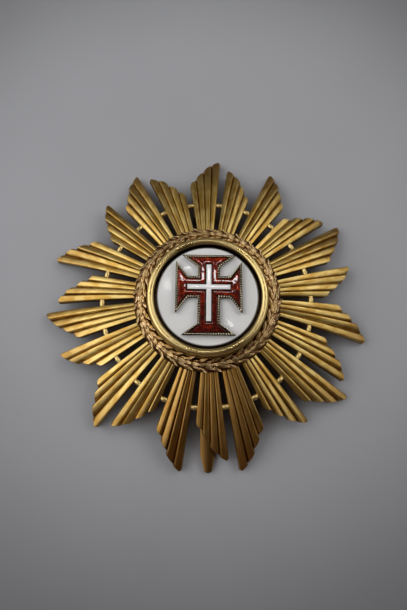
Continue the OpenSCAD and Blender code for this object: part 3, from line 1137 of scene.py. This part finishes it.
# %% Fire the enamels
for piece, node, dip_width, dip_depth, material in (
    (cross_red, "red_enamel", 0.35, 0.04, red_enamel),
    (cross_white, "inner_cross", 0.45, 0.06, white_enamel),
):
    run_nodes(piece, fired, {
        "Top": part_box(node)[1].z,
        "Dip width": dip_width * MM,
        "Dip": dip_depth * MM,
        "Swim": 0.02 * MM,
        "Material": material,
    })
    tell(smooth(piece, 50))

# %% [markdown]
# The border of the cross is milled: a wheel has pressed a row of small slanting beads into it.
# They are copies along a path, the outline of the cross half a border's width further in, which
# is worked out from the sizes of the limbs.

# %% The path of the milled border
CROSS_UP, CROSS_DOWN, CROSS_SIDE = 7.95, 11.65, 7.95
LIMB_W, FLARE_W, FLARE_L = 5.3, 12.8, 2.8
BORDER_W = 0.6
BEAD_HEIGHT = 0.12
CROSS_PLACE = Vector((0.2, 1.9))


def limb_side(reach, turn):
    """The outline of one limb, inset by half the border, anticlockwise from its right foot"""
    inset = BORDER_W / 2
    slope = math.atan2((FLARE_W - LIMB_W) / 2, FLARE_L)
    foot = LIMB_W / 2 - inset
    neck = reach - FLARE_L - inset * math.tan((math.pi / 2 - slope) / 2)
    tip = foot + (reach - inset - neck) * math.tan(slope)
    half = [(foot, foot), (foot, neck), (tip, reach - inset)]
    whole = half + [(-x, y) for x, y in reversed(half)]
    return [Matrix.Rotation(turn, 2) @ Vector(p) for p in whole]


path = []
for reach_out, quarter in ((CROSS_UP, 0), (CROSS_SIDE, 1), (CROSS_DOWN, 2), (CROSS_SIDE, 3)):
    path += limb_side(reach_out, quarter * math.pi / 2)
path = [Matrix.Rotation(CROSS_TURN, 2) @ (p + CROSS_PLACE) for p in path]
path_z = metal_high.z - BEAD_HEIGHT
path_edges = [(n, (n + 1) % len(path)) for n in range(len(path))]
border = clean(mesh_piece("milled_border", [(*p, path_z) for p in path], [], path_edges), 1e-6)
print("border path of", len(path), "corners")

# %% [markdown]
# The tree steps along the path at the pitch of the milling wheel and sets a small ball at each
# step, squeezed into a slanting bead.

# %% Build the tree: beads along a path
bead_row, sizes, result = geometry_tree(
    "Beads along a path", {"Pitch": 0.0003, "Bead size": "Vector", "Slant": 0.5}
)
curve = place(bead_row, "GeometryNodeMeshToCurve", sizes["Geometry"])
steps = place(bead_row, "GeometryNodeCurveToPoints", curve, mode="LENGTH")
put(steps.node.inputs["Length"], sizes["Pitch"])
ball = place(bead_row, "GeometryNodeMeshIcoSphere", 1.0, 2)
aligned = place(bead_row, "FunctionNodeAlignRotationToVector", None, None, steps["Tangent"], axis="X")
slant = place(bead_row, "FunctionNodeEulerToRotation", combine(0.0, 0.0, sizes["Slant"]))
turned = place(bead_row, "FunctionNodeRotateRotation", aligned, slant, rotation_space="LOCAL")
pattern = (None, ball, None, None)
beads = place(bead_row, "GeometryNodeInstanceOnPoints", steps, *pattern, turned, sizes["Bead size"])
end_tree(sizes, result, beads)

# %% [markdown]
# Beads and metal are one piece on the real cross, so they are joined. The mask called low leaves
# the crests bright and darkens the cuts.

# %% Mill the border
run_nodes(border, bead_row, {
    "Pitch": 0.6 * MM,
    "Bead size": (0.13 * MM, 0.30 * MM, BEAD_HEIGHT * MM),
    "Slant": math.radians(-28),
    "Material": milled_metal,
})
mark(border, "low", np.clip(0.9 - (points_of(border)[:, 2] - path_z) / 0.1, 0, 1))
mark(cross_metal, "low", 1.0)
cross = join("cross_border", [cross_metal, border])
tell(cross)

# %% [markdown]
# ## Who stands for what
# Every new piece takes the place of its CAD node and moves with the one body of the star.

# %% Hand the pieces to the frame
PIECES = [
    (star, "star_body", "gilt_rays"),
    (wreath, "laurel_wreath", "gilt_wreath"),
    (bezel, "bezel_ring", "polished_gilt"),
    (disc, "white_disc", "white_enamel"),
    (cross, "cross_frame", "milled_metal"),
    (cross_red, "red_enamel", "red_enamel"),
    (cross_white, "inner_cross", "white_enamel"),
    (pin, "brooch_pin", "gilt_pin"),
]
for piece, node, slot in PIECES:
    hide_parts(node)
    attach(piece, "root")
    low, high = box_of(node)
    made = points_of(piece)
    off = max(np.abs(made.min(0) - low).max(), np.abs(made.max(0) - high).max())
    print(f"{piece.name}: {triangles(piece)} triangles, box within {off:.2f} mm of {node}")

# %% [markdown]
# ## Floor and light
# The floor is plain pale paper. A painted fall-off of the light makes it greyer with the distance
# from a point a little above the star. Under the star it is darker still, a painted shade, so
# that the slits look almost black.

# %% Lay the floor
FLOOR_HALF = 3000
PALE = ((0.420, 0.428, 0.456, 1), (0.471, 0.479, 0.510, 1))
FALLOFF_GRAY = ((0.141, 0.142, 0.152, 1), (0.166, 0.167, 0.179, 1))
UNDER_STAR_SHADE = (0.16, 0.13, 0.11, 1)
BRIGHT_SPOT = (0, -25 * MM, 0)

sides = (-FLOOR_HALF, FLOOR_HALF)
floor = mesh_piece("floor", [(x, y, 0) for x in sides for y in sides], [(0, 2, 3, 1)])
paper, tree, shader = new_material("pale_floor", Roughness=0.85)
here = object_coordinates(tree)
cloud = noise(here, 25.0, 4.0)
from_spot = length(place(tree, "ShaderNodeMapping", here, BRIGHT_SPOT))
# Painted fall-off of the light: greyer away from the bright spot.
away = ramp(from_spot, 50 * MM, 126 * MM, interpolation_type="SMOOTHSTEP")
# Painted shade on the floor under the star.
inner = ramp(length(here), 24 * MM, 38 * MM, interpolation_type="SMOOTHSTEP")
paper_tone = mix(away, mix(cloud, *PALE), mix(cloud, *FALLOFF_GRAY))
put(shader["Base Color"], mix(inner, UNDER_STAR_SHADE, paper_tone))
floor.data.materials.append(paper)

# %% [markdown]
# The brightest soft light hangs at the left, and weaker ones stand round the star. Only a faint
# warm light comes from the near side, so the lower rays stay dark and brown.


# %% Hang the soft lights
def soft_light(name, azimuth, elevation, distance, width, height, power, color=(1, 1, 1)):
    """A rectangle of light that faces the star; sizes are in metres and angles in degrees"""
    data = bpy.data.lights.new(name, "AREA")
    data.shape = "RECTANGLE"
    data.size = width
    data.size_y = height
    data.energy = power
    data.color = color
    lamp = add_object(name, data)
    a, e = math.radians(azimuth), math.radians(elevation)
    out = Vector((math.cos(a) * math.cos(e), math.sin(a) * math.cos(e), math.sin(e)))
    lamp.location = out * distance
    lamp.rotation_euler = out.to_track_quat("Z", "Y").to_euler()


WARM = (1.0, 0.5, 0.22)
soft_light("key", 140, 53, 0.38, 0.34, 0.28, 0.11)
soft_light("left", 175, 37, 0.42, 0.50, 0.34, 0.88)
soft_light("high_left", 208, 62, 0.42, 0.30, 0.26, 0.145)
soft_light("upper_right", 42, 44, 0.42, 0.3, 0.24, 0.31)
soft_light("right", 2, 40, 0.55, 0.42, 0.32, 0.46)
soft_light("top", 90, 35, 0.60, 0.60, 0.30, 0.07)
soft_light("foot", 270, 30, 1.0, 0.8, 0.3, 0.10, WARM)

# %% [markdown]
# Small bright windows are mirrored in the enamels: one in the flat cross, just above the white
# crossbar, and three as short streaks on the domed disc. Each hangs where the camera's line of
# sight goes when the enamel turns it back.

# %% Hang the windows that the enamels mirror
FLAT = 1e6
DISC_SPHERE = 214.0
WINDOW_AWAY = 0.4


def mirrored_light(name, x, y, z, sphere, width, height, power):
    """A light that a polished face of this sphere mirrors into the camera at x, y and z in mm"""
    glint = Vector((x, y, z)) * MM
    normal = Vector((x / sphere, y / sphere, 1)).normalized()
    seen = (glint - camera.location).normalized()
    at = glint + WINDOW_AWAY * seen.reflect(normal)
    azimuth = math.degrees(math.atan2(at.y, at.x))
    elevation = math.degrees(math.atan2(at.z, math.hypot(at.x, at.y)))
    soft_light(name, azimuth, elevation, at.length, width, height, power)
    print(name, "at", [round(v / MM) for v in at])


mirrored_light("window", 0.0, 4.7, metal_high.z, FLAT, 0.064, 0.010, 0.045)
mirrored_light("pane_left", -9.8, 2.9, disc_high.z, DISC_SPHERE, 0.014, 0.020, 0.0030)
mirrored_light("pane_top", -4.9, 7.0, disc_high.z, DISC_SPHERE, 0.012, 0.005, 0.0022)
mirrored_light("pane_low", 5.2, -7.0, disc_high.z, DISC_SPHERE, 0.013, 0.005, 0.0022)

# %% [markdown]
# The rest of the room is dark and warm, so that the gilding has something dim to mirror.

# %% Light the room
world = bpy.data.worlds.new("studio")
world.use_nodes = True
room_color, room_strength = world.node_tree.nodes["Background"].inputs[:2]
room_color.default_value = (1.0, 0.7, 0.45, 1)
room_strength.default_value = 0.026
bpy.context.scene.world = world
bpy.context.scene.view_settings.view_transform = "Standard"
